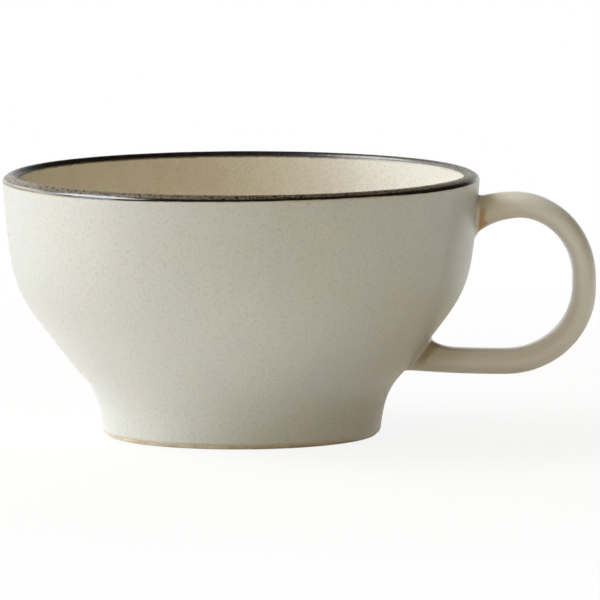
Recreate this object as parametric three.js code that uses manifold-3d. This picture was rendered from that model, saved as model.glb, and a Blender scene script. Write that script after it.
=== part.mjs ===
// Stoneware cup: a turned clay bowl and a clay strap handle, stuck together with slip and glazed.
// Millimetres, +Z up. Sizes are those of the fired clay, and the glaze stands on top of it.
// Outlines are drawn in the plane of the handle, as distance from the bowl's axis and height.
import * as THREE from 'three';
import { mergeVertices } from 'three/addons/utils/BufferGeometryUtils.js';
import Module from 'manifold-3d';

const wasm = await Module();
wasm.setup();

// Bowl
const RIM_RADIUS = 62;
const CUP_HEIGHT = 68.3;
const WALL = 3.2;
const LIP_CROWN = 1.2;
const RIM_LEAN = THREE.MathUtils.degToRad(4.5);
const CONE_RADIUS = 44.2;
const CONE_HEIGHT = 19.3;
const CONE_ANGLE = THREE.MathUtils.degToRad(37);

// Lengths over which the bowl's outline keeps its direction, from the rim down to the foot
const RIM_PULL = 31.4;
const BELLY_PULL = 25.6;
const WAIST_PULL = 5.5;
const FOOT_PULL = 12.4;

// Foot ring and floor
const FOOT_RADIUS = 35.9;
const FOOT_DRAFT = THREE.MathUtils.degToRad(5.7);
const FOOT_ROUND = 1.4;
const FOOT_RING_WIDTH = 5.4;
const RECESS_DEPTH = 3;
const RECESS_COVE = 4.5;
const FLOOR_THICKNESS = 5;
const FLOOR_FLAT = 20;
const FLOOR_TURN = 15;

// Handle: a strap bent into a loop, measured along its middle line
const HANDLE_STANDOFF = 27.8;
const UPPER_BEND = 19;
const UPPER_BEND_REACH = 17.9;
const LOWER_BEND = 19.6;
const LOWER_BEND_REACH = 20.6;
const UPPER_ARM_BELOW_LIP = 8;
const UPPER_ARM_DROP = 4;
const LOWER_ARM_HEIGHT = 19;
const LOWER_ARM_RISE = 1.9;
const HANDLE_THICKNESS = 5.75;
const HANDLE_THINNING = 0.45;
const HANDLE_WIDTH = 10.4;
const OUTER_SQUARENESS = 2.1;
const INNER_SQUARENESS = 2.5;
const UPPER_ROOT_FLARE = 1.9;
const UPPER_ROOT_REACH = 14;
const LOWER_ROOT_FLARE = 2.7;
const LOWER_ROOT_REACH = 9;

// Layers
const GLAZE = 0.4;
const SLIP = 1;
const BOND_GAP = 0.1;
const COAT = BOND_GAP + GLAZE;

// Fineness
const TURNS = 40;
const RECESS_STEPS = 4;
const FOOT_STEPS = 3;
const WAIST_STEPS = 7;
const BELLY_STEPS = 10;
const LIP_STEPS = 8;
const LIP_CREEP = 1;
const FLOOR_STEPS = 7;
const HANDLE_STEPS = 36;
const HANDLE_SIDES = 16;

const point = (radius, height) => new THREE.Vector2(radius, height);
const upAlong = (lean, length) => point(Math.sin(lean) * length, Math.cos(lean) * length);

// Bowl outline, stretch by stretch: out along the underside, up the outside, over the lip, down the inside
const rimEdge = point(RIM_RADIUS, CUP_HEIGHT - LIP_CROWN);
const coneEdge = point(CONE_RADIUS, CONE_HEIGHT);
const footEdge = point(FOOT_RADIUS, FOOT_ROUND);
const ringInner = FOOT_RADIUS - FOOT_RING_WIDTH;
const floorHeight = RECESS_DEPTH + FLOOR_THICKNESS;

const waistCurve = new THREE.CubicBezierCurve(
  footEdge,
  footEdge.clone().add(upAlong(FOOT_DRAFT, FOOT_PULL)),
  coneEdge.clone().sub(upAlong(CONE_ANGLE, WAIST_PULL)),
  coneEdge,
);
const bellyCurve = new THREE.CubicBezierCurve(
  coneEdge,
  coneEdge.clone().add(upAlong(CONE_ANGLE, BELLY_PULL)),
  rimEdge.clone().sub(upAlong(RIM_LEAN, RIM_PULL)),
  rimEdge,
);
const recessCurve = new THREE.EllipseCurve(
  ringInner - RECESS_COVE, 0, RECESS_COVE, RECESS_DEPTH, Math.PI / 2, 0, true,
);
const footCurve = new THREE.EllipseCurve(
  FOOT_RADIUS - FOOT_ROUND, FOOT_ROUND, FOOT_ROUND, FOOT_ROUND, -Math.PI / 2, 0,
);
const lipCurve = new THREE.EllipseCurve(
  RIM_RADIUS - WALL / 2, rimEdge.y, WALL / 2, LIP_CROWN, 0, Math.PI,
);

// A point of the inside wall: one wall thickness in from the belly curve
function insideWall(t) {
  const tangent = bellyCurve.getTangent(t);
  return bellyCurve.getPoint(t).add(point(-tangent.y, tangent.x).multiplyScalar(WALL));
}

const floorEdge = insideWall(0);
const floorCurve = new THREE.CubicBezierCurve(
  floorEdge,
  floorEdge.clone().sub(upAlong(CONE_ANGLE, FLOOR_TURN)),
  point(FLOOR_FLAT, floorHeight),
  point(0, floorHeight),
);
const insideSteps = Array.from({ length: BELLY_STEPS - 1 }, (_, k) => 1 - (k + 1) / BELLY_STEPS);
const lip = lipCurve.getPoints(LIP_STEPS);

// The glazes of the outside and the inside run a few steps up onto the lip
const stretches = {
  underside: [point(0, RECESS_DEPTH), ...recessCurve.getPoints(RECESS_STEPS)],
  foot: [point(ringInner, 0), ...footCurve.getPoints(FOOT_STEPS)],
  outside: [
    ...waistCurve.getPoints(WAIST_STEPS),
    ...bellyCurve.getPoints(BELLY_STEPS).slice(1),
    ...lip.slice(1, LIP_CREEP + 1),
  ],
  lip: lip.slice(LIP_CREEP, LIP_STEPS - LIP_CREEP + 1),
  inside: [
    ...lip.slice(LIP_STEPS - LIP_CREEP),
    ...insideSteps.map(insideWall),
    ...floorCurve.getPoints(FLOOR_STEPS),
  ],
};

const outline = [];
const span = {};
for (const [name, points] of Object.entries(stretches)) {
  const first = Math.max(outline.length - 1, 0);
  outline.push(...(outline.length ? points.slice(1) : points));
  span[name] = [first, outline.length - 1];
}

// The outline's point i, moved out of the clay so that both faces beside it move by the distance
function grown(i, distance) {
  const here = outline[i];
  if (here.x === 0) return point(0, here.y + (i === 0 ? -distance : distance));
  const before = here.clone().sub(outline[i - 1]).normalize();
  const after = outline[i + 1].clone().sub(here).normalize();
  const along = before.clone().add(after).normalize();
  const reach = distance / along.dot(after);
  return here.clone().add(point(along.y, -along.x).multiplyScalar(reach));
}

function grownStretch([first, last], distance) {
  return Array.from({ length: last - first + 1 }, (_, k) => grown(first + k, distance));
}

function turned(profile) {
  return new THREE.LatheGeometry(profile, TURNS).rotateX(Math.PI / 2);
}

// A coat of glaze on one stretch of the outline
function coat(stretch) {
  const face = grownStretch(stretch, COAT);
  const back = grownStretch(stretch, BOND_GAP).reverse();
  if (face.at(-1).x === 0) return turned([...back, ...face]);
  if (face[0].x === 0) return turned([...face, ...back]);
  return turned([...face, ...back, face[0]]);
}

// The bowl's outside as a thick ring, grown by a distance and run on above the lip, for cutting what meets it
function bowlForm(distance) {
  const wall = grownStretch(span.outside, distance);
  const top = CUP_HEIGHT + HANDLE_THICKNESS;
  const low = point(ringInner, wall[0].y);
  return solid(turned([low, ...wall, point(wall.at(-1).x, top), point(ringInner, top), low]));
}

function wallRadius(height) {
  const [first, last] = span.outside;
  for (let i = first; i < last; i += 1) {
    const [low, high] = [outline[i], outline[i + 1]];
    if (height <= high.y) {
      return THREE.MathUtils.mapLinear(height, low.y, high.y, low.x, high.x);
    }
  }
  return RIM_RADIUS;
}

// Handle: its middle line starts inside the wall and ends inside the waist
const upperArmHeight = CUP_HEIGHT - UPPER_ARM_BELOW_LIP;
const loopHeight = upperArmHeight - LOWER_ARM_HEIGHT;
const upperBend = Math.min(UPPER_BEND, loopHeight / 2);
const lowerBend = Math.min(LOWER_BEND, loopHeight / 2);
const loopEnd = RIM_RADIUS + HANDLE_STANDOFF;
const upperStart = RIM_RADIUS - 2 * WALL;
const upperTurn = loopEnd - UPPER_BEND_REACH;
const lowerTurn = loopEnd - LOWER_BEND_REACH;
const spine = new THREE.Path();
spine.moveTo(upperStart, upperArmHeight - UPPER_ARM_DROP);
spine.quadraticCurveTo((upperStart + upperTurn) / 2, upperArmHeight, upperTurn, upperArmHeight);
spine.absellipse(
  upperTurn, upperArmHeight - upperBend, UPPER_BEND_REACH, upperBend, Math.PI / 2, 0, true,
);
spine.absellipse(
  lowerTurn, LOWER_ARM_HEIGHT + lowerBend, LOWER_BEND_REACH, lowerBend, 0, -Math.PI / 2, true,
);
spine.quadraticCurveTo(
  (lowerTurn + FOOT_RADIUS) / 2, LOWER_ARM_HEIGHT, FOOT_RADIUS, LOWER_ARM_HEIGHT + LOWER_ARM_RISE,
);

// One section of the handle, with round corners. The strap is thinner where it comes down from the upper
// bend, and its inner side flares out near the wall.
function handleSection(share, growth) {
  const middle = spine.getPointAt(share);
  const along = spine.getTangentAt(share);
  const thickness = HANDLE_THICKNESS - HANDLE_THINNING * Math.max(0, -along.y) * (1 + along.x);
  const inner = point(along.y, -along.x).multiplyScalar(thickness / 2).add(middle);
  const clear = inner.x - wallRadius(inner.y);
  const [rootFlare, rootReach] = along.x > 0
    ? [UPPER_ROOT_FLARE, UPPER_ROOT_REACH]
    : [LOWER_ROOT_FLARE, LOWER_ROOT_REACH];
  const nearness = THREE.MathUtils.clamp(1 - clear / rootReach, 0, 1);
  const flare = rootFlare * nearness ** 2;
  return Array.from({ length: HANDLE_SIDES }, (_, k) => {
    const angle = (2 * Math.PI * k) / HANDLE_SIDES;
    const [out, aside] = [Math.cos(angle), Math.sin(angle)];
    const power = 2 / (out > 0 ? OUTER_SQUARENESS : INNER_SQUARENESS);
    const across = Math.sign(out) * Math.abs(out) ** power;
    const sideways = Math.sign(aside) * Math.abs(aside) ** power;
    const reach = across * (thickness / 2 + growth + (across < 0 ? flare : 0));
    const x = middle.x - along.y * reach;
    const z = middle.y + along.x * reach;
    return new THREE.Vector3(x, sideways * (HANDLE_WIDTH / 2 + growth), z);
  });
}

// The handle between two of its steps, grown by a distance
function strap(growth, from = 0, to = HANDLE_STEPS) {
  const rings = [];
  for (let step = from; step <= to; step += 1) {
    rings.push(handleSection(step / HANDLE_STEPS, growth));
  }
  const vertices = rings.flat().flatMap((corner) => corner.toArray());
  const triangles = [];
  const last = (rings.length - 1) * HANDLE_SIDES;
  for (let k = 0; k < HANDLE_SIDES; k += 1) {
    const next = (k + 1) % HANDLE_SIDES;
    for (let base = 0; base < last; base += HANDLE_SIDES) {
      const above = base + HANDLE_SIDES;
      triangles.push(base + k, above + k, base + next);
      triangles.push(base + next, above + k, above + next);
    }
    if (k > 0 && next > 0) {
      triangles.push(0, k, next);
      triangles.push(last, last + next, last + k);
    }
  }
  const geometry = new THREE.BufferGeometry();
  geometry.setAttribute('position', new THREE.Float32BufferAttribute(vertices, 3));
  geometry.setIndex(triangles);
  return solid(geometry);
}

function solid(geometry) {
  const bare = new THREE.BufferGeometry();
  bare.setAttribute('position', geometry.getAttribute('position'));
  bare.setIndex(geometry.getIndex());
  const merged = mergeVertices(bare);
  const mesh = new wasm.Mesh({
    numProp: 3,
    vertProperties: new Float32Array(merged.getAttribute('position').array),
    triVerts: new Uint32Array(merged.getIndex().array),
  });
  return new wasm.Manifold(mesh);
}

function shape(manifold) {
  const mesh = manifold.getMesh();
  const geometry = new THREE.BufferGeometry();
  geometry.setAttribute('position', new THREE.BufferAttribute(mesh.vertProperties, 3));
  geometry.setIndex(new THREE.BufferAttribute(mesh.triVerts, 1));
  geometry.computeVertexNormals();
  return geometry;
}

// Slip between the bowl and one end of the handle
function joint(end) {
  const outer = bowlForm(BOND_GAP + SLIP);
  return shape(end.intersect(outer).subtract(bowlForm(BOND_GAP)));
}

const middleStep = Math.floor(HANDLE_STEPS / 2);
const [baseFirst, baseLast] = span.underside;

const geometries = {
  bowl_body: turned(outline),
  handle: shape(strap(0).subtract(bowlForm(BOND_GAP + SLIP + BOND_GAP))),
  upper_handle_joint: joint(strap(0, 0, middleStep)),
  lower_handle_joint: joint(strap(0, middleStep, HANDLE_STEPS)),
  outside_glaze: shape(solid(coat(span.outside)).subtract(strap(BOND_GAP))),
  inside_glaze: coat(span.inside),
  rim_glaze: coat(span.lip),
  handle_glaze: shape(strap(COAT).subtract(bowlForm(COAT + BOND_GAP)).subtract(strap(BOND_GAP))),
  base_glaze: coat([baseFirst, baseLast - 1]),
};

const finishes = {
  bowl_body: { color: '#b99b6c', roughness: 0.9 },
  handle: { color: '#b99b6c', roughness: 0.9 },
  upper_handle_joint: { color: '#a98a60', roughness: 0.9 },
  lower_handle_joint: { color: '#a98a60', roughness: 0.9 },
  outside_glaze: { color: '#d3d0c4', roughness: 0.55 },
  inside_glaze: { color: '#cabf9f', roughness: 0.5 },
  rim_glaze: { color: '#3b342c', roughness: 0.4 },
  handle_glaze: { color: '#cfcbbd', roughness: 0.55 },
  base_glaze: { color: '#d3d0c4', roughness: 0.55 },
};

const cup = new THREE.Group();
for (const [name, geometry] of Object.entries(geometries)) {
  const material = new THREE.MeshStandardMaterial({ metalness: 0, ...finishes[name] });
  const mesh = new THREE.Mesh(geometry, material);
  mesh.name = name;
  cup.add(mesh);
}

// The origin is on the ground, under the middle of the whole cup, so the bowl's axis is off to one side
const box = new THREE.Box3().setFromObject(cup);
cup.position.x = -(box.min.x + box.max.x) / 2;

export default cup;
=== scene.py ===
import math
from bisect import bisect_left

import bmesh
import bpy
from mathutils import Matrix, Vector, noise


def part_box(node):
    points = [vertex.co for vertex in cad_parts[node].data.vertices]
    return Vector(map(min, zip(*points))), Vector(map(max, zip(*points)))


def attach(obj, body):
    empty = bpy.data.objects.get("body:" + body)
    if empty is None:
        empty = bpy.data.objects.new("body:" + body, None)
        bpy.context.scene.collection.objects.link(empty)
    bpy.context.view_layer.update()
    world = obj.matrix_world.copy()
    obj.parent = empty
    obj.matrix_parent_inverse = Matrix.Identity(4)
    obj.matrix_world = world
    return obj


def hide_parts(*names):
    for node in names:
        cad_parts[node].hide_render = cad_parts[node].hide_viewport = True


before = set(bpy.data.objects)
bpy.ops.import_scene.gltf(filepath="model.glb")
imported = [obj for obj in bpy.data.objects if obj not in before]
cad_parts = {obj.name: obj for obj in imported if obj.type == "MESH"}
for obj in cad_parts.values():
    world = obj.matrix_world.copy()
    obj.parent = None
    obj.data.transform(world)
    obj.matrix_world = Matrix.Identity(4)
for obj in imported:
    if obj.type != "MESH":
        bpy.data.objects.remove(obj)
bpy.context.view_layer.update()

MM = 0.001
clay_low, clay_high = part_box("bowl_body")

# Bowl: sizes of the fired clay, whose outline is drawn as distance from the axis and height
AXIS = (clay_low.x + clay_high.x) / 2
RIM_RADIUS = (clay_high.y - clay_low.y) / 2
CUP_HEIGHT = clay_high.z
WALL = 3.2 * MM
LIP_CROWN = 1.2 * MM
LIP_SLOPE = 2.2 * MM
LIP_CORNER = 0.25 * MM
LIP_FLAT = 1.0 * MM
RIM_LEAN = math.radians(4.5)
CONE_RADIUS = 44.2 * MM
CONE_HEIGHT = 19.3 * MM
CONE_ANGLE = math.radians(37)
RIM_PULL = 31.4 * MM
BELLY_PULL = 25.6 * MM
WAIST_PULL = 5.5 * MM
FOOT_PULL = 12.4 * MM

# Foot ring and floor
FOOT_RADIUS = 35.9 * MM
FOOT_DRAFT = math.radians(5.7)
FOOT_ROUND = 1.4 * MM
FOOT_RING_WIDTH = 5.4 * MM
RECESS_DEPTH = 3 * MM
RECESS_COVE = 4.5 * MM
FLOOR_THICKNESS = 5 * MM
FLOOR_FLAT = 20 * MM
FLOOR_TURN = 15 * MM

# Handle: a strap bent into a loop
HANDLE_STANDOFF = 27.8 * MM
UPPER_BEND = 19 * MM
UPPER_BEND_REACH = 17.9 * MM
LOWER_BEND = 19.6 * MM
LOWER_BEND_REACH = 20.6 * MM
UPPER_ARM_BELOW_LIP = 8 * MM
UPPER_ARM_DROP = 4 * MM
LOWER_ARM_HEIGHT = 19 * MM
LOWER_ARM_RISE = 1.9 * MM
HANDLE_THICKNESS = 5.75 * MM
HANDLE_THINNING = 0.45 * MM
HANDLE_WIDTH = 10.4 * MM
OUTER_SQUARENESS = 2.1
INNER_SQUARENESS = 2.5
UPPER_ROOT_FLARE = 1.9 * MM
UPPER_ROOT_REACH = 14 * MM
LOWER_ROOT_FLARE = 2.7 * MM
LOWER_ROOT_REACH = 9 * MM

# Fillet of slip and glaze smoothed round each end of the handle, widest on the inner side of the loop
ROOT_SPREAD = 0.95 * MM
ROOT_SPREAD_BIAS = 0.45
ROOT_SPREAD_REACH = 0.6 * MM
ROOT_SINK = 0.15 * MM

# Glaze: coats stand clear of the clay by the bond, and the outside coat ends in a wavy edge above the foot
GLAZE = 0.4 * MM
BOND_GAP = 0.1 * MM
COAT = BOND_GAP + GLAZE
FOOT_EDGE_TAPER = 0.9 * MM
FOOT_EDGE_DROP = 0.5 * MM
FOOT_WAVE_REACH = 6 * MM
BARE_SPOT_ANGLE = math.radians(-145)
BARE_SPOT_WIDTH = math.radians(7)
BARE_SPOT_RISE = 0.6 * MM
RIM_LUMP = 0.025 * MM
RIM_LUMP_SIZE = 2.5 * MM

# Waves of the edge above the foot: how many go round, their size and where they start
FOOT_WAVES = (
    (3, 0.10 * MM, 0.4),
    (7, 0.09 * MM, 2.1),
    (12, 0.07 * MM, 5.0),
    (19, 0.06 * MM, 1.2),
    (31, 0.04 * MM, 3.3),
)

# Fineness of the meshes
BOWL_TURNS = 216
RIM_TURNS = 432
WAIST_STEPS = 40
WAIST_CROWDING = 1.8
BELLY_STEPS = 44
LIP_STEPS = 12
LIP_CROWDING = 1.8
FLOOR_STEPS = 26
CURVE_STEPS = 12
BEND_STEPS = 60
STRAP_RINGS = 240
STRAP_SIDES = 64
ROOT_CROWDING = 0.86
ROOT_SEARCH_STEPS = 30
SHARP_ANGLE = math.radians(40)
WELD = 0.001 * MM

# Points of the outline that glaze creeps over the lip, and that the base glaze stops short of the foot ring
LIP_CREEP_OUTSIDE = 6
LIP_CREEP_INSIDE = 3
BASE_GLAZE_STOP = 3

# View of the photograph, which is 600 pixels wide and high
IMAGE_SIZE = 600
CAMERA_DISTANCE = 3.0
CAMERA_ELEVATION = math.radians(6.2)
CAMERA_ROLL = -0.003
PIXEL = 0.26228 * MM
AXIS_COLUMN = 241.6
MARK_ROW = 293.3
MARK_HEIGHT = 37 * MM


def up_along(lean, length):
    return Vector((math.sin(lean), math.cos(lean))) * length


def bezier(corners, steps, crowding=1.0):
    """Points on a Bezier curve, closer together at its start where crowding is over 1."""
    line = []
    for k in range(steps + 1):
        share = (k / steps) ** crowding
        points = corners
        while len(points) > 1:
            points = [a.lerp(b, share) for a, b in zip(points, points[1:])]
        line.append(points[0])
    return line


def ellipse_part(centre, width, height, start, end, steps):
    angles = [start + (end - start) * k / steps for k in range(steps + 1)]
    return [centre + Vector((width * math.cos(a), height * math.sin(a))) for a in angles]


def moved_out(line, distance):
    """A line's points moved square to the line, to the right of its direction."""
    moved = []
    for k, here in enumerate(line):
        along = (line[min(k + 1, len(line) - 1)] - line[max(k - 1, 0)]).normalized()
        moved.append(here + Vector((along.y, -along.x)) * distance)
    return moved


def bowl_outline():
    """The clay's outline, out along the underside, up the outside, over the lip and down the inside."""
    rim_edge = Vector((RIM_RADIUS, CUP_HEIGHT - LIP_CROWN))
    cone_edge = Vector((CONE_RADIUS, CONE_HEIGHT))
    foot_edge = Vector((FOOT_RADIUS, FOOT_ROUND))
    ring_inner = FOOT_RADIUS - FOOT_RING_WIDTH
    floor_height = RECESS_DEPTH + FLOOR_THICKNESS
    quarter = math.pi / 2

    foot_pull = foot_edge + up_along(FOOT_DRAFT, FOOT_PULL)
    waist_pull = cone_edge - up_along(CONE_ANGLE, WAIST_PULL)
    waist = bezier([foot_edge, foot_pull, waist_pull, cone_edge], WAIST_STEPS, WAIST_CROWDING)
    belly_pull = cone_edge + up_along(CONE_ANGLE, BELLY_PULL)
    rim_pull = rim_edge - up_along(RIM_LEAN, RIM_PULL)
    belly = bezier([cone_edge, belly_pull, rim_pull, rim_edge], BELLY_STEPS)

    crest = Vector((RIM_RADIUS - LIP_SLOPE, CUP_HEIGHT))
    corner_pull = rim_edge + Vector((0, LIP_CORNER))
    crest_pull = crest + Vector((LIP_FLAT, 0))
    lip = bezier([rim_edge, corner_pull, crest_pull, crest], LIP_STEPS, LIP_CROWDING)
    lip_centre = Vector((crest.x, rim_edge.y))
    lip += ellipse_part(lip_centre, WALL - LIP_SLOPE, LIP_CROWN, quarter, math.pi, LIP_STEPS)[1:]
    inside_wall = moved_out(belly, -WALL)[::-1]
    floor_edge = inside_wall[-1]
    floor_pull = floor_edge - up_along(CONE_ANGLE, FLOOR_TURN)
    flat, middle = Vector((FLOOR_FLAT, floor_height)), Vector((0, floor_height))
    floor = bezier([floor_edge, floor_pull, flat, middle], FLOOR_STEPS)

    cove_centre = Vector((ring_inner - RECESS_COVE, 0))
    cove = ellipse_part(cove_centre, RECESS_COVE, RECESS_DEPTH, quarter, 0, CURVE_STEPS)
    round_centre = Vector((FOOT_RADIUS - FOOT_ROUND, FOOT_ROUND))
    foot = ellipse_part(round_centre, FOOT_ROUND, FOOT_ROUND, -quarter, 0, CURVE_STEPS)

    stretches = {
        "underside": [Vector((0, RECESS_DEPTH)), *cove],
        "foot": foot,
        "outside": waist[1:] + belly[1:] + lip[1:LIP_CREEP_OUTSIDE + 1],
        "lip": lip[LIP_CREEP_OUTSIDE + 1:-LIP_CREEP_INSIDE],
        "inside": lip[-LIP_CREEP_INSIDE:] + inside_wall[1:] + floor[1:],
    }
    line, spans = [], {}
    for name, points in stretches.items():
        first = max(len(line) - 1, 0)
        line += points
        spans[name] = slice(first, len(line))
    return line, spans


OUTLINE, SPANS = bowl_outline()
COAT_FACE = moved_out(OUTLINE, COAT)
COAT_BACK = moved_out(OUTLINE, BOND_GAP)
WALL_FACE = COAT_FACE[SPANS["outside"]]
WALL_HEIGHTS = [point.y for point in WALL_FACE]


def turned(profile, turns=BOWL_TURNS):
    """A profile of distance and height turned about the bowl's axis. Off the axis it closes on itself."""
    mesh = bmesh.new()
    corners = [mesh.verts.new((AXIS + point.x, 0, point.y)) for point in profile]
    pairs = list(zip(corners, corners[1:]))
    if profile[0].x > WELD:
        pairs.append((corners[-1], corners[0]))
    edges = [mesh.edges.new(pair) for pair in pairs]
    bmesh.ops.spin(
        mesh, geom=corners + edges, cent=(AXIS, 0, 0), axis=(0, 0, 1),
        angle=2 * math.pi, steps=turns, use_merge=True)
    bmesh.ops.remove_doubles(mesh, verts=mesh.verts, dist=WELD)
    bmesh.ops.recalc_face_normals(mesh, faces=mesh.faces)
    return mesh


def coat_profile(span):
    """Both faces of the glaze on one stretch of the outline, from the axis where it reaches it."""
    face, back = COAT_FACE[span], COAT_BACK[span]
    if face[-1].x < WELD:
        return back[::-1] + face
    return face + back[::-1]


def shown(name, mesh, material, node):
    """Makes a finished mesh a piece of the cup, in place of a CAD node."""
    for face in mesh.faces:
        face.smooth = True
    for edge in mesh.edges:
        edge.smooth = edge.calc_face_angle(0) < SHARP_ANGLE
    data = bpy.data.meshes.new(name)
    mesh.to_mesh(data)
    mesh.free()
    data.materials.append(material)
    piece = bpy.data.objects.new(name, data)
    bpy.context.scene.collection.objects.link(piece)
    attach(piece, "root")
    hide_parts(node)
    return piece


def foot_wave(angle):
    """How far the glaze's edge lies above its middle height, round the foot."""
    away = math.remainder(angle - BARE_SPOT_ANGLE, 2 * math.pi) / BARE_SPOT_WIDTH
    spot = BARE_SPOT_RISE * math.exp(-away * away)
    return spot + sum(size * math.sin(count * angle + start) for count, size, start in FOOT_WAVES)


def outside_glaze():
    """The outside coat, thinned to a rounded, wavy edge above the foot."""
    span = SPANS["outside"]
    face = []
    for front, back in zip(COAT_FACE[span], COAT_BACK[span]):
        rise = min((back.y - COAT_BACK[span][0].y) / FOOT_EDGE_TAPER, 1)
        face.append(back.lerp(front, math.sqrt(1 - (1 - rise) ** 2)))
    mesh = turned(face + COAT_BACK[span][::-1])
    for corner in mesh.verts:
        nearness = 1 - (corner.co.z - FOOT_ROUND) / FOOT_WAVE_REACH
        if nearness > 0:
            angle = math.atan2(corner.co.y, corner.co.x - AXIS)
            lift = nearness * (foot_wave(angle) - FOOT_EDGE_DROP)
            out = lift * math.tan(FOOT_DRAFT)
            corner.co += Vector((out * math.cos(angle), out * math.sin(angle), lift))
    return mesh


def rim_glaze():
    """The lip's coat, slightly lumpy on top."""
    mesh = turned(coat_profile(SPANS["lip"]), RIM_TURNS)
    mesh.normal_update()
    edge = COAT_BACK[SPANS["lip"]][0].y
    for corner in mesh.verts:
        rise = min(max((corner.co.z - edge) / (CUP_HEIGHT - edge), 0), 1)
        corner.co += corner.normal * (RIM_LUMP * rise * noise.noise(corner.co / RIM_LUMP_SIZE))
    return mesh


def base_glaze():
    span = SPANS["underside"]
    return turned(coat_profile(slice(span.start, span.stop - BASE_GLAZE_STOP)))


def wall_at(height):
    """Distance of the glazed wall from the axis at a height, and its direction upwards."""
    k = min(max(bisect_left(WALL_HEIGHTS, height), 1), len(WALL_FACE) - 1)
    low, high = WALL_FACE[k - 1], WALL_FACE[k]
    share = (height - low.y) / (high.y - low.y)
    return low.x + share * (high.x - low.x), (high - low).normalized()


def clear_of_wall(point):
    """Distance of a point from the glazed wall, and the wall's direction outwards there."""
    radius, up = wall_at(point.z)
    across = Vector((point.x - AXIS, point.y))
    out = Vector((across.x * up.y, across.y * up.y, -up.x * across.length)) / across.length
    return (across.length - radius) * up.y, out


class Spine:
    """The handle's middle line, from inside the wall to inside the waist, by distance along it."""

    def __init__(self):
        upper = CUP_HEIGHT - UPPER_ARM_BELOW_LIP
        loop_end = RIM_RADIUS + HANDLE_STANDOFF
        start = Vector((RIM_RADIUS - 2 * WALL, upper - UPPER_ARM_DROP))
        shoulder = Vector((loop_end - UPPER_BEND_REACH, upper))
        elbow = Vector((loop_end - LOWER_BEND_REACH, LOWER_ARM_HEIGHT))
        end = Vector((FOOT_RADIUS, LOWER_ARM_HEIGHT + LOWER_ARM_RISE))
        upper_pull = Vector(((start.x + shoulder.x) / 2, upper))
        lower_pull = Vector(((elbow.x + end.x) / 2, LOWER_ARM_HEIGHT))
        upper_centre = shoulder - Vector((0, UPPER_BEND))
        lower_centre = elbow + Vector((0, LOWER_BEND))
        quarter = math.pi / 2
        self.points = bezier([start, upper_pull, shoulder], BEND_STEPS)
        self.points += ellipse_part(upper_centre, UPPER_BEND_REACH, UPPER_BEND, quarter, 0, BEND_STEPS)[1:]
        self.points += ellipse_part(lower_centre, LOWER_BEND_REACH, LOWER_BEND, 0, -quarter, BEND_STEPS)
        self.points += bezier([elbow, lower_pull, end], BEND_STEPS)[1:]
        self.marks = [0.0]
        for a, b in zip(self.points, self.points[1:]):
            self.marks.append(self.marks[-1] + (b - a).length)
        self.length = self.marks[-1]
        nexts = self.points[1:] + self.points[-1:]
        lasts = self.points[:1] + self.points[:-1]
        self.directions = [(b - a).normalized() for a, b in zip(lasts, nexts)]

    def at(self, distance):
        k = min(max(bisect_left(self.marks, distance), 1), len(self.points) - 1)
        share = (distance - self.marks[k - 1]) / (self.marks[k] - self.marks[k - 1])
        point = self.points[k - 1].lerp(self.points[k], share)
        return point, self.directions[k - 1].lerp(self.directions[k], share).normalized()


SPINE = Spine()


def strap_section(angle):
    """How far out and sideways the strap's section lies, from -1 to 1, rounder on the outside of the loop."""
    out, aside = math.cos(angle), math.sin(angle)
    power = 2 / (OUTER_SQUARENESS if out > 0 else INNER_SQUARENESS)
    return math.copysign(abs(out) ** power, out), math.copysign(abs(aside) ** power, aside)


def strap_point(distance, angle):
    """A point round the glazed strap's section, at a distance along the spine, and the section's middle."""
    middle, along = SPINE.at(distance)
    thickness = HANDLE_THICKNESS - HANDLE_THINNING * max(0, -along.y) * (1 + along.x)
    inner = middle + Vector((along.y, -along.x)) * (thickness / 2)
    clearance = inner.x - wall_at(inner.y)[0]
    root_flare, root_reach = UPPER_ROOT_FLARE, UPPER_ROOT_REACH
    if along.x < 0:
        root_flare, root_reach = LOWER_ROOT_FLARE, LOWER_ROOT_REACH
    flare = root_flare * max(1 - clearance / root_reach, 0) ** 2
    across, sideways = strap_section(angle)
    height = across * (thickness / 2 + COAT + (flare if across < 0 else 0))
    point = Vector((
        AXIS + middle.x - along.y * height,
        sideways * (HANDLE_WIDTH / 2 + COAT),
        middle.y + along.x * height))
    return point, Vector((AXIS + middle.x, 0, middle.y))


def root_distance(angle, inside, outside):
    """Distance along the spine at which one line of the strap goes into the wall."""
    for _ in range(ROOT_SEARCH_STEPS):
        half = (inside + outside) / 2
        if clear_of_wall(strap_point(half, angle)[0])[0] < -ROOT_SINK:
            inside = half
        else:
            outside = half
    return outside


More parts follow.
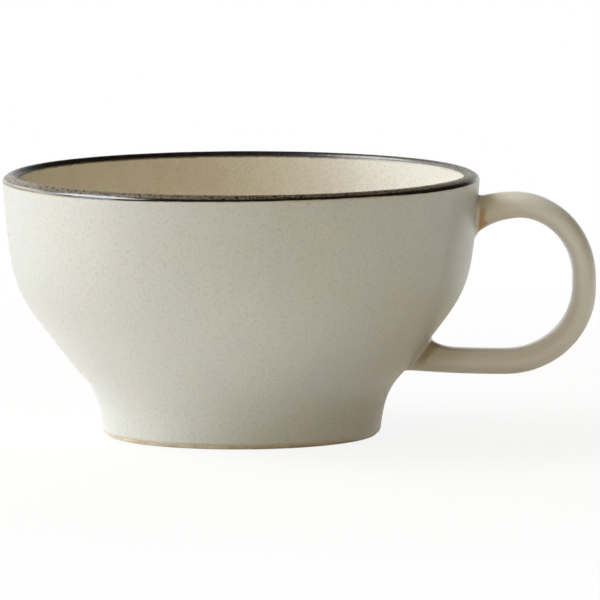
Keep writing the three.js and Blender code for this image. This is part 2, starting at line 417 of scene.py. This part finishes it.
def handle_glaze():
    """The strap's coat: a grid bent round the section and along the spine, with its ends run to the wall."""
    mesh = bmesh.new()
    half = 0.5
    bmesh.ops.create_grid(mesh, x_segments=STRAP_RINGS, y_segments=STRAP_SIDES, size=half)
    marks = mesh.verts.layers.float_vector.new("strap")
    ends = {}
    half_way = SPINE.length * half
    for corner in mesh.verts:
        share, turn = corner.co.x + half, round((corner.co.y + half) * STRAP_SIDES)
        angle = 2 * math.pi * turn / STRAP_SIDES
        if turn not in ends:
            ends[turn] = root_distance(angle, 0, half_way), root_distance(angle, SPINE.length, half_way)
        upper, lower = ends[turn]
        share -= ROOT_CROWDING * math.sin(2 * math.pi * share) / (2 * math.pi)
        point, middle = strap_point(upper + share * (lower - upper), angle)
        clearance, out = clear_of_wall(point)
        aside = point - middle
        aside = (aside - out * aside.dot(out)).normalized()
        across = strap_section(angle)[0]
        spread = ROOT_SPREAD * (1 - ROOT_SPREAD_BIAS * across)
        corner.co = point + aside * spread * math.exp(-max(clearance, 0) / ROOT_SPREAD_REACH)
        corner[marks] = Vector((across, 0, clearance / MM))
    bmesh.ops.remove_doubles(mesh, verts=mesh.verts, dist=WELD)
    bmesh.ops.recalc_face_normals(mesh, faces=mesh.faces)
    return mesh


def srgb(*levels):
    """A colour given as 0 to 255 levels, in the linear form that shaders take."""
    def linear(level):
        share = level / 255
        return share / 12.92 if share <= 0.04045 else ((share + 0.055) / 1.055) ** 2.4
    return (*map(linear, levels), 1.0)


class Shade:
    """A number, colour or vector in a node tree. Arithmetic on a number adds Math nodes."""

    def __init__(self, finish, socket):
        self.finish = finish
        self.socket = socket

    def math(self, operation, *values):
        return self.finish.node("ShaderNodeMath", {"operation": operation}, dict(enumerate(values)))

    def __add__(self, other):
        return self.math("ADD", self, other)

    def __sub__(self, other):
        return self.math("SUBTRACT", self, other)

    def __rsub__(self, other):
        return self.math("SUBTRACT", other, self)

    def __mul__(self, other):
        return self.math("MULTIPLY", self, other)

    def __abs__(self):
        return self.math("ABSOLUTE", self)

    __radd__ = __add__
    __rmul__ = __mul__


class Finish:
    """The node tree of one of the cup's finishes, of the table top or of the studio."""

    def __init__(self, owner):
        self.owner = owner
        owner.use_nodes = True
        self.tree = owner.node_tree
        self.tree.nodes.clear()

    def node(self, kind, settings=None, sockets=None, output=0):
        """Adds a node with its settings, then the values or links of its sockets, and gives one output."""
        made = self.tree.nodes.new(kind)
        for name, value in (settings or {}).items():
            setattr(made, name, value)
        for name, value in (sockets or {}).items():
            if isinstance(value, Shade):
                self.tree.links.new(value.socket, made.inputs[name])
            else:
                made.inputs[name].default_value = value
        return Shade(self, made.outputs[output]) if made.outputs else None

    def millimetres(self, stretch=(1, 1, 1)):
        """Places on the piece in millimetres, from the ground under the bowl's axis."""
        place = self.node("ShaderNodeTexCoord", output="Object")
        scale = [factor / MM for factor in stretch]
        centre = (-AXIS * scale[0], 0, 0)
        return self.node("ShaderNodeMapping", {}, {"Vector": place, "Location": centre, "Scale": scale})

    def part(self, vector, axis):
        return self.node("ShaderNodeSeparateXYZ", {}, {0: vector}, output=axis)

    def length(self, vector):
        return self.node("ShaderNodeVectorMath", {"operation": "LENGTH"}, {0: vector}, output="Value")

    def side(self):
        """How far a place lies to the right of the bowl's axis."""
        return self.part(self.millimetres(), "X")

    def behind(self):
        """How far a place lies behind the bowl's axis."""
        return self.part(self.millimetres(), "Y")

    def height(self):
        return self.part(self.millimetres(), "Z")

    def radius(self):
        return self.length(self.millimetres((1, 1, 0)))

    def step(self, value, low, high):
        """0 where the value is low, 1 where it is high, and smooth between."""
        sockets = {"Value": value, "From Min": low, "From Max": high}
        return self.node("ShaderNodeMapRange", {"interpolation_type": "SMOOTHSTEP"}, sockets)

    def clouds(self, size, detail=2, stretch=(1, 1, 1)):
        """Soft noise between 0 and 1, of a size in millimetres."""
        sockets = {"Vector": self.millimetres(stretch), "Scale": 1 / size, "Detail": detail}
        return self.node("ShaderNodeTexNoise", {}, sockets)

    def mottle(self, size, detail, low, high, stretch=(1, 1, 1)):
        """Clouds drawn out into patches, 0 between them and 1 in them."""
        return self.step(self.clouds(size, detail, stretch), low, high)

    def spots(self, spacing, edge, core):
        """Scattered spots, 0 past their edge and 1 within their core, both in shares of their spacing."""
        sockets = {"Vector": self.millimetres(), "Scale": 1 / spacing}
        return self.step(self.node("ShaderNodeTexVoronoi", {}, sockets), edge, core)

    def uneven(self, least, more, size):
        """A value that clouds of a size raise."""
        return least + more * self.clouds(size)

    def along(self, value, stretches):
        """Shares added up, each coming in over its own span of the value."""
        return sum(share * self.step(value, *span) for share, *span in stretches)

    def blend(self, share, first, second):
        """A mixed colour. The sockets go by number, because a Mix node's names repeat."""
        return self.node("ShaderNodeMix", {"data_type": "RGBA"}, {0: share, 6: first, 7: second}, output=2)

    def mixed(self, share, first, second):
        return self.node("ShaderNodeMixShader", {}, {0: share, 1: first, 2: second})

    def surface(self, colour, roughness, relief, depth, more=None):
        """A fired surface with this colour, roughness and relief."""
        normal = self.node("ShaderNodeBump", {}, {"Distance": depth, "Height": relief})
        sockets = {"Base Color": colour, "Roughness": roughness, "Normal": normal, **(more or {})}
        return self.node("ShaderNodeBsdfPrincipled", {}, sockets)

    def glow(self, colour, strength=1.0):
        return self.node("ShaderNodeEmission", {}, {"Color": colour, "Strength": strength})

    def ray(self, kind):
        """1 for rays of a kind, such as Camera or Glossy."""
        return self.node("ShaderNodeLightPath", output=f"Is {kind} Ray")

    def ended(self, surface):
        self.node("ShaderNodeOutputMaterial", {}, {"Surface": surface})
        return self.owner


CREAM = srgb(218, 216, 208)
CREAM_COOL = srgb(213, 213, 206)
CREAM_WARM = srgb(220, 215, 203)
CREAM_GRAIN = srgb(192, 188, 174)
OCHRE = srgb(196, 172, 122)
TOASTED = srgb(192, 142, 86)
TOASTED_OLIVE = srgb(174, 150, 106)
# Painted light: the strap's cream is lighter than the bowl's, standing in for more light on the handle
STRAP_PAINTED_LIGHT = srgb(244, 240, 230)
# Tan of thin glaze on the strap's edges, also used as painted shade towards the wall
THIN_GLAZE_AND_SHADE_TAN = srgb(206, 191, 158)
LINER = srgb(230, 220, 199)
# Painted light: paler liner for its lit right side
LINER_PAINTED_LIGHT = srgb(235, 231, 221)
LINER_DEEP = srgb(217, 204, 174)
LINER_GRAIN = srgb(206, 194, 166)
SPECK = srgb(112, 90, 60)
IRON = srgb(19, 15, 11)
IRON_BROWN = srgb(56, 42, 29)
# Grey of the iron's paler break along the crest, also used as painted sheen there and as a painted highlight
# at the back right
IRON_BLOOM_AND_SHEEN = srgb(136, 122, 98)
# Painted highlight grey for the iron's lower edge at the left
IRON_PAINTED_HIGHLIGHT = srgb(142, 136, 122)
CLAY = srgb(236, 225, 198)
CLAY_DARK = srgb(204, 184, 145)
SLIP = srgb(168, 138, 96)
FLOOR_WHITE = srgb(246, 244, 239)
WHITE = (1.0, 1.0, 1.0, 1.0)

# Finishes: places in millimetres, reliefs in metres, and pairs that give where a step is 0 and where it is 1
PATCH_SHARE = 0.5
GRAIN_SHARE = 0.5
STAIN_SHARE = 0.5
SATIN_SWELL = 0.6
SATIN_TOOTH = 0.4
SATIN_RELIEF = 0.03 * MM
IRON_GLOSS = 0.15
IRON_SHINE = {"IOR": 1.9}

# Cream glaze at the foot, in its recess and below the lip, and how far the iron runs down along the rim
FOOT_BARE = (1.6, 0.7)
FOOT_RAGGED = 0.9
BASE_BARE = (1.5, 0.6)
BASE_RAGGED = 0.6
BASE_STAIN_SHARE = 0.8
IRON_EDGE = (67.44, 67.54)
IRON_STAIN = (67.0, 67.5)
IRON_RUNS = ((0.45, 5, -44), (-0.15, 0, 20), (0.3, 34, 50))
IRON_RAGGED = 0.2
# Where the iron's lower edge turns to painted highlight grey, by place to the right
IRON_EDGE_HIGHLIGHT_SPAN = (-38, -58)

# Glaze on the handle, by place across the strap, from -1 inside the loop to 1, height and way from the wall
# Share of painted light in the strap's cream
STRAP_PAINTED_LIGHT_SHARE = 0.9
STRAP_RAGGED = 0.15
RIDGE_PLACE = -0.45
RIDGE_WIDTH = (0.25, 0)
RIDGE_SHARE = 0.16
BROW_PLACE = 0.62
BROW_WIDTH = (0.22, 0)
BROW_SHARE = 0.12
BROW_HEIGHT = 48
BROW_REACH = (14, 8)
STRIP_ACROSS = (-0.5, -0.9)
STRIP_HEIGHTS = (56, 44)
STRIP_COAT = 0.8
STRIP_COAT_ROUGHNESS = 0.3
# Painted shade: the strap turns tan towards the wall, over these distances from it
WALL_SHADE_REACH = (14, 1)
WALL_SHADE_SHARE = 0.5
ROOT_START = (0.6, 1.0)
ROOT_END = (2.2, 0.5)
ROOT_RAGGED = 2.8
ROOT_ACROSS = (0.7, -0.2)
ROOT_SHARE = 0.8
TOAST_LOW = (46, 50)
TOAST_HIGH = (63, 59)
TOAST_RAGGED = 4

# Liner, by place to the right of the axis and height
LINER_DEEP_SHARE = 0.4
LINER_GRAIN_SHARE = 0.4
# Painted light: where the liner turns paler towards its lit right side
LINER_LIT_SPAN = (-20, 45)
LINER_SWELL = 0.5
LINER_TOOTH = 0.3
LINER_RELIEF = 0.04 * MM
PINHOLE_SHARE = 0.15
PINHOLE_DEPTH = 0.6
BLEED_HEIGHTS = (67.35, 67.85)
BLEED_RAGGED = 0.5
BLEED_SHARE = 0.85
BLEED_FADING = ((0.6, 18, 42),)

# Iron glaze on the lip, by distance from the axis, place to the right and place behind
LIP_TOP = (62.35, 61.9)
LIP_INNER = (60.2, 59.4)
LIP_INNER_DULL = 0.12
CREST_INNER = (59.2, 59.8)
CREST_OUTER = (62.25, 61.7)
CREST_NARROWING = ((0.3, -2, 14),)
CREST_DULL = 0.1
# Crest greyed partly as the iron's paler break and partly as painted sheen, with painted reflection added at
# its left and right ends
CREST_BLOOM_AND_SHEEN = 0.26
CREST_ENDS_PAINTED_REFLECTION = ((0.34, 10, -30), (0.3, 30, 50))
CREST_BLOOM_AND_SHEEN_PATCHES = 0.4
IRON_BROWN_SHARE = 0.6
IRON_SWELL = 0.3
IRON_TOOTH = 0.15
LIP_TOP_TOOTH = 0.4
IRON_RELIEF = 0.08 * MM
PITS_AT_BACK = 0.35
PITS_IN_FRONT = (25, 0)
# Painted highlight on the inner lip at the back right
PAINTED_HIGHLIGHT_RIGHT = (18, 40)
PAINTED_HIGHLIGHT_BEHIND = (0, 25)
PAINTED_HIGHLIGHT_SHARE = 0.35

# Bare clay
CLAY_TOAST_SHARE = 0.6
CLAY_GRIT_SHARE = 0.35
CLAY_GRIT_DEPTH = 0.5
CLAY_RELIEF = 0.06 * MM


def glaze_body(finish):
    """The cream glaze's own colour, with soft drifts down the wall and a fine grain."""
    drift = finish.mottle(size=26, detail=3, low=0.35, high=0.65, stretch=(1, 1, 0.35))
    patch = finish.mottle(size=9, detail=2, low=0.4, high=0.75)
    grain = finish.mottle(size=0.7, detail=3, low=0.45, high=0.75)
    colour = finish.blend(drift, CREAM_COOL, CREAM)
    colour = finish.blend(PATCH_SHARE * patch, colour, CREAM_WARM)
    return finish.blend(GRAIN_SHARE * grain, colour, CREAM_GRAIN)


def satin(finish):
    """Roughness and relief of the cream glaze."""
    roughness = finish.uneven(least=0.24, more=0.14, size=4)
    relief = SATIN_SWELL * finish.clouds(size=1.6) + SATIN_TOOTH * finish.clouds(size=0.35)
    return roughness, relief


def cream_wall():
    """Cream glaze on the outside, stained at its lower edge and below the lip, where iron runs over it. At
    the left the iron's lower edge is greyed as a painted highlight.
    """
    finish = Finish(bpy.data.materials.new("cream_wall"))
    height, side = finish.height(), finish.side()
    ragged = finish.clouds(size=1.8, detail=3)
    bare = finish.step(height - FOOT_RAGGED * ragged, *FOOT_BARE)
    iron_edge = height + finish.along(side, IRON_RUNS) + IRON_RAGGED * ragged
    stain = finish.step(iron_edge, *IRON_STAIN)
    colour = finish.blend(STAIN_SHARE * stain, glaze_body(finish), OCHRE)
    colour = finish.blend(STAIN_SHARE * bare, colour, OCHRE)
    cream = finish.surface(colour, *satin(finish), SATIN_RELIEF)
    # Painted highlight: the iron's lower edge greys at the left
    edge_iron_with_highlight = finish.blend(finish.step(side, *IRON_EDGE_HIGHLIGHT_SPAN), IRON, IRON_PAINTED_HIGHLIGHT)
    edge = finish.surface(edge_iron_with_highlight, IRON_GLOSS, finish.clouds(size=1.8), SATIN_RELIEF, IRON_SHINE)
    return finish.ended(finish.mixed(finish.step(iron_edge, *IRON_EDGE), cream, edge))


def cream_base():
    """Cream glaze in the recess under the foot, stained where it ends."""
    finish = Finish(bpy.data.materials.new("cream_base"))
    ragged = finish.clouds(size=2.2, detail=3)
    bare = finish.step(finish.height() - BASE_RAGGED * ragged, *BASE_BARE)
    colour = finish.blend(BASE_STAIN_SHARE * bare, glaze_body(finish), OCHRE)
    return finish.ended(finish.surface(colour, *satin(finish), SATIN_RELIEF))


def cream_strap():
    """Cream glaze on the handle, lighter than the bowl's as painted light, tan where its glaze runs thinner,
    darker tan towards the wall as painted shade, toasted beside its ends and shiny inside the loop.
    """
    finish = Finish(bpy.data.materials.new("cream_strap"))
    marks = finish.node("ShaderNodeAttribute", {"attribute_name": "strap"}, output="Vector")
    across, from_wall = finish.part(marks, "X"), finish.part(marks, "Z")
    height = finish.height()
    ragged = finish.clouds(size=2.5, detail=3)
    ridge = finish.step(abs(across - RIDGE_PLACE) - STRAP_RAGGED * ragged, *RIDGE_WIDTH)
    brow = finish.step(abs(across - BROW_PLACE) - STRAP_RAGGED * ragged, *BROW_WIDTH)
    brow = brow * finish.step(abs(height - BROW_HEIGHT), *BROW_REACH)
    strip = finish.step(across, *STRIP_ACROSS) * finish.step(height, *STRIP_HEIGHTS)
    shine = {"Coat Weight": STRIP_COAT * strip, "Coat Roughness": STRIP_COAT_ROUGHNESS}
    root = finish.step(from_wall, *ROOT_START) * finish.step(from_wall - ROOT_RAGGED * ragged, *ROOT_END)
    root = root * finish.step(across, *ROOT_ACROSS)
    orange = finish.step(height - TOAST_RAGGED * ragged, *TOAST_LOW)
    orange = orange * finish.step(height + TOAST_RAGGED * ragged, *TOAST_HIGH)
    toast = finish.blend(orange, TOASTED_OLIVE, TOASTED)
    # Painted light lightens the strap's cream
    colour = finish.blend(STRAP_PAINTED_LIGHT_SHARE, glaze_body(finish), STRAP_PAINTED_LIGHT)
    colour = finish.blend(RIDGE_SHARE * ridge + BROW_SHARE * brow, colour, THIN_GLAZE_AND_SHADE_TAN)
    # Painted shade darkens the strap towards the wall
    colour = finish.blend(WALL_SHADE_SHARE * finish.step(from_wall, *WALL_SHADE_REACH), colour, THIN_GLAZE_AND_SHADE_TAN)
    colour = finish.blend(ROOT_SHARE * root, colour, toast)
    return finish.ended(finish.surface(colour, *satin(finish), SATIN_RELIEF, shine))


def liner():
    """The warmer glaze inside, paler on the right as painted light, with fine pinholes, and iron bleeding in
    from the lip.
    """
    finish = Finish(bpy.data.materials.new("liner"))
    side = finish.side()
    deep = finish.mottle(size=7, detail=3, low=0.35, high=0.7)
    grain = finish.mottle(size=0.6, detail=3, low=0.42, high=0.68)
    pinholes = finish.spots(spacing=1.1, edge=0.18, core=0.08)
    pinholes = pinholes * finish.mottle(size=3, detail=1, low=0.45, high=0.6)
    ragged = finish.clouds(size=2.5, detail=3)
    bleed = finish.step(finish.height() + BLEED_RAGGED * ragged, *BLEED_HEIGHTS)
    bleed = bleed * (BLEED_SHARE - finish.along(side, BLEED_FADING))
    colour = finish.blend(LINER_DEEP_SHARE * deep, LINER, LINER_DEEP)
    # Painted light: paler towards the lit right side
    colour = finish.blend(finish.step(side, *LINER_LIT_SPAN), colour, LINER_PAINTED_LIGHT)
    colour = finish.blend(LINER_GRAIN_SHARE * grain, colour, LINER_GRAIN)
    colour = finish.blend(PINHOLE_SHARE * pinholes, colour, SPECK)
    colour = finish.blend(bleed, colour, IRON_BROWN)
    roughness = finish.uneven(least=0.3, more=0.16, size=3)
    relief = LINER_SWELL * finish.clouds(size=1.2) + LINER_TOOTH * grain - PINHOLE_DEPTH * pinholes
    return finish.ended(finish.surface(colour, roughness, relief, LINER_RELIEF))


def iron_lip():
    """The glossy dark iron glaze on the lip, greyed along its crest partly as a paler break and partly as
    painted sheen, with painted reflection at its left and right ends, pitted, and with a painted highlight on
    the inner lip at the back right.
    """
    finish = Finish(bpy.data.materials.new("iron_lip"))
    radius, side, behind = finish.radius(), finish.side(), finish.behind()
    top = finish.step(radius, *LIP_TOP)
    inner = finish.step(radius, *LIP_INNER)
    crest = finish.step(radius + finish.along(side, CREST_NARROWING), *CREST_OUTER)
    crest = crest * finish.step(radius, *CREST_INNER)
    # Painted highlight: where the inner lip at the back right is greyed
    painted_highlight = inner * finish.step(side, *PAINTED_HIGHLIGHT_RIGHT) * finish.step(behind, *PAINTED_HIGHLIGHT_BEHIND)
    pitted = top * (PITS_AT_BACK + (1 - PITS_AT_BACK) * finish.step(behind, *PITS_IN_FRONT))
    pitted = pitted * finish.mottle(size=2.2, detail=1, low=0.36, high=0.5)
    pits = pitted * finish.spots(spacing=0.9, edge=0.38, core=0.28)
    brown = finish.mottle(size=3, detail=3, low=0.45, high=0.7)
    # Crest grey: partly the iron's paler break, partly painted sheen, with painted reflection at the ends
    bloom_and_sheen = CREST_BLOOM_AND_SHEEN_PATCHES * finish.mottle(size=0.9, detail=3, low=0.4, high=0.65)
    bloom_and_sheen = CREST_BLOOM_AND_SHEEN + finish.along(side, CREST_ENDS_PAINTED_REFLECTION) + bloom_and_sheen
    colour = finish.blend(IRON_BROWN_SHARE * brown, IRON, IRON_BROWN)
    colour = finish.blend(crest * bloom_and_sheen, colour, IRON_BLOOM_AND_SHEEN)
    # Painted highlight greys the inner lip at the back right
    colour = finish.blend(PAINTED_HIGHLIGHT_SHARE * painted_highlight, colour, IRON_BLOOM_AND_SHEEN)
    roughness = finish.uneven(least=IRON_GLOSS, more=0.1, size=1.1)
    roughness = roughness + CREST_DULL * crest + LIP_INNER_DULL * inner
    tooth = (IRON_TOOTH + LIP_TOP_TOOTH * top) * finish.clouds(size=0.7)
    relief = tooth + IRON_SWELL * finish.clouds(size=1.8)
    glaze = finish.surface(colour, roughness, relief, IRON_RELIEF, IRON_SHINE)
    pit = finish.node("ShaderNodeBsdfDiffuse", {}, {"Color": IRON})
    return finish.ended(finish.mixed(pits, glaze, pit))


def bare_clay(name, light, dark):
    """Fired clay without glaze: gritty and slightly toasted."""
    finish = Finish(bpy.data.materials.new(name))
    toast = finish.mottle(size=5, detail=3, low=0.35, high=0.7)
    grit = finish.spots(spacing=0.9, edge=0.3, core=0.12)
    colour = finish.blend(CLAY_TOAST_SHARE * toast, light, dark)
    colour = finish.blend(CLAY_GRIT_SHARE * grit, colour, SPECK)
    roughness = finish.uneven(least=0.8, more=0.15, size=1.5)
    relief = finish.clouds(size=0.5, detail=3) - CLAY_GRIT_DEPTH * grit
    return finish.ended(finish.surface(colour, roughness, relief, CLAY_RELIEF))


def build_cup():
    clay = bare_clay("bare_clay", CLAY, CLAY_DARK)
    slip = bare_clay("joining_slip", SLIP, CLAY_DARK)
    shown("cup_clay_body", turned(OUTLINE), clay, "bowl_body")
    shown("cup_outside_glaze", outside_glaze(), cream_wall(), "outside_glaze")
    shown("cup_inside_glaze", turned(coat_profile(SPANS["inside"])), liner(), "inside_glaze")
    shown("cup_rim_glaze", rim_glaze(), iron_lip(), "rim_glaze")
    shown("cup_base_glaze", base_glaze(), cream_base(), "base_glaze")
    strap = shown("cup_handle_glaze", handle_glaze(), cream_strap(), "handle_glaze")
    shell = strap.modifiers.new("glaze_thickness", "SOLIDIFY")
    shell.thickness = GLAZE
    shell.offset = -1
    for node, material in {"handle": clay, "upper_handle_joint": slip, "lower_handle_joint": slip}.items():
        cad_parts[node].material_slots[0].material = material


# Table top: white with a faint shadow. Gloss shows it dark in front, dim at the left and tan by the handle
TABLE_SIZE = 20.0
TABLE_GAP = 0.05 * MM
TABLE_SHADOW = 0.12
TABLE_SHADOW_REACH = (0.12, 0.4)
TABLE_GLOSS_SPAN = (-0.5, -0.1)
TABLE_SHADE = (0.5, 0.41, 0.27, 1.0)
TABLE_SHADE_REACH = (0.08, 0.22)
TABLE_SHADE_SPAN = (0.0, 0.06)
TABLE_DIM = (0.65, 0.65, 0.65, 1.0)
TABLE_DIM_SPAN = (-0.09, -0.15)

# Studio: a dim warm room and a white background, which gloss shows only low down, behind and to the right
ROOM_LEVEL = 0.03
ROOM_COLOUR = (1.0, 0.95, 0.85, 1.0)
FRONT_GLOSS = 0.03
BACKDROP_SLANT = 0.6
BACKDROP_TILT = 0.4
BACKDROP_EDGE = (0.1, 0.9)
BACKDROP_TOP = (0.5, 0.2)

# Lamps: degrees to the left of the front, degrees up, distance, width, height, watts and colour
LAMP_AIM = Vector((0, 0, 0.04))
DAYLIGHT = (0.9, 0.945, 1.0)
SOFT_WHITE = (1.0, 0.97, 0.91)
WARM = (1.0, 0.88, 0.62)
LAMPS = {
    "side_lamp": (76, 11, 1.4, 0.6, 0.5, 5.15, DAYLIGHT),
    "strip_lamp": (105, 13, 1.4, 0.5, 0.3, 3.0, DAYLIGHT),
    "high_lamp": (96, 48, 1.4, 1.0, 0.6, 13.8, DAYLIGHT),
    "back_lamp": (132, 24, 1.4, 0.7, 0.5, 1.8, DAYLIGHT),
    "top_lamp": (150, 58, 1.4, 1.6, 0.9, 6.5, SOFT_WHITE),
    "front_lamp": (4, 42, 1.35, 1.0, 0.8, 3.35, WARM),
    "right_lamp": (-45, 8, 1.4, 0.8, 0.6, 1.15, WARM),
}
FILL_LAMPS = ("front_lamp", "right_lamp", "top_lamp")


def seen(finish):
    """1 for rays that show the background: from the camera, off gloss and through glass."""
    camera, gloss, glass = [finish.ray(kind) for kind in ("Camera", "Glossy", "Transmission")]
    return camera.math("MAXIMUM", camera, gloss.math("MAXIMUM", gloss, glass))


def white_table():
    finish = Finish(bpy.data.materials.new("white_table"))
    place = finish.node("ShaderNodeTexCoord", output="Object")
    side, behind = [finish.part(place, axis) for axis in "XY"]
    away = finish.length(place)
    shaded = finish.step(side, *TABLE_SHADE_SPAN) * (1 - finish.step(away, *TABLE_SHADE_REACH))
    mirror = finish.blend(finish.step(side, *TABLE_DIM_SPAN), WHITE, TABLE_DIM)
    mirror = finish.glow(finish.blend(shaded, mirror, TABLE_SHADE))
    mirror = finish.mixed(finish.step(behind, *TABLE_GLOSS_SPAN), finish.glow(WHITE, 0.0), mirror)
    plain = finish.mixed(finish.ray("Glossy"), finish.glow(WHITE), mirror)
    shadow = TABLE_SHADOW * (1 - finish.step(away, *TABLE_SHADOW_REACH))
    matt = finish.node("ShaderNodeBsdfDiffuse", {}, {"Color": FLOOR_WHITE})
    lit = finish.mixed((1 - shadow) * seen(finish), matt, plain)
    clear = finish.node("ShaderNodeBsdfTransparent")
    from_below = finish.node("ShaderNodeNewGeometry", output="Backfacing")
    return finish.ended(finish.mixed(from_below, lit, clear))


def table_top():
    mesh = bmesh.new()
    bmesh.ops.create_grid(
        mesh, x_segments=1, y_segments=1, size=TABLE_SIZE / 2, matrix=Matrix.Translation((0, 0, -TABLE_GAP)))
    data = bpy.data.meshes.new("table_top")
    mesh.to_mesh(data)
    mesh.free()
    data.materials.append(white_table())
    table = bpy.data.objects.new("table_top", data)
    bpy.context.scene.collection.objects.link(table)


def studio_walls():
    finish = Finish(bpy.data.worlds.new("studio"))
    bpy.context.scene.world = finish.owner
    direction = finish.node("ShaderNodeTexCoord", output="Generated")
    right, behind, up = [finish.part(direction, axis) for axis in "XYZ"]
    backdrop = finish.step(behind + BACKDROP_SLANT * right, *BACKDROP_EDGE)
    backdrop = backdrop * finish.step(up + BACKDROP_TILT * right, *BACKDROP_TOP)
    room, white, dim = [
        finish.node("ShaderNodeBackground", {}, {"Color": colour, "Strength": level})
        for colour, level in ((ROOM_COLOUR, ROOM_LEVEL), (WHITE, 1.0), (WHITE, FRONT_GLOSS))]
    backing = finish.mixed(finish.ray("Glossy"), white, finish.mixed(backdrop, dim, white))
    finish.node("ShaderNodeOutputWorld", {}, {"Surface": finish.mixed(seen(finish), room, backing)})


def hang_lamps():
    """Hangs the lamps, which all face the cup. Fill lamps don't show in gloss."""
    for name, (left, raised, distance, width, height, watts, colour) in LAMPS.items():
        data = bpy.data.lights.new(name, "AREA")
        data.shape = "RECTANGLE"
        data.size, data.size_y = width, height
        data.energy, data.color = watts, colour
        lamp = bpy.data.objects.new(name, data)
        turn, lift = math.radians(left), math.radians(raised)
        flat = distance * math.cos(lift)
        lamp.location = (-flat * math.sin(turn), -flat * math.cos(turn), distance * math.sin(lift))
        lamp.rotation_euler = (LAMP_AIM - lamp.location).to_track_quat("-Z", "Y").to_euler()
        lamp.visible_camera = False
        lamp.visible_glossy = name not in FILL_LAMPS
        bpy.context.scene.collection.objects.link(lamp)


def photo_camera():
    lens = bpy.data.cameras.new("photo_camera")
    lens.lens = lens.sensor_width * CAMERA_DISTANCE / (IMAGE_SIZE * PIXEL)
    camera = bpy.data.objects.new("photo_camera", lens)
    middle = IMAGE_SIZE / 2
    drop = (middle - MARK_ROW) * PIXEL / math.cos(CAMERA_ELEVATION)
    aim = Vector((AXIS + (middle - AXIS_COLUMN) * PIXEL, 0, MARK_HEIGHT - drop))
    back = Vector((0, -math.cos(CAMERA_ELEVATION), math.sin(CAMERA_ELEVATION)))
    turn = (-back).to_track_quat("-Z", "Y").to_matrix() @ Matrix.Rotation(CAMERA_ROLL, 3, "Z")
    camera.matrix_world = Matrix.Translation(aim + back * CAMERA_DISTANCE) @ turn.to_4x4()
    bpy.context.scene.collection.objects.link(camera)
    bpy.context.scene.camera = camera


bpy.context.scene.view_settings.view_transform = "Standard"
build_cup()
table_top()
studio_walls()
hang_lamps()
photo_camera()
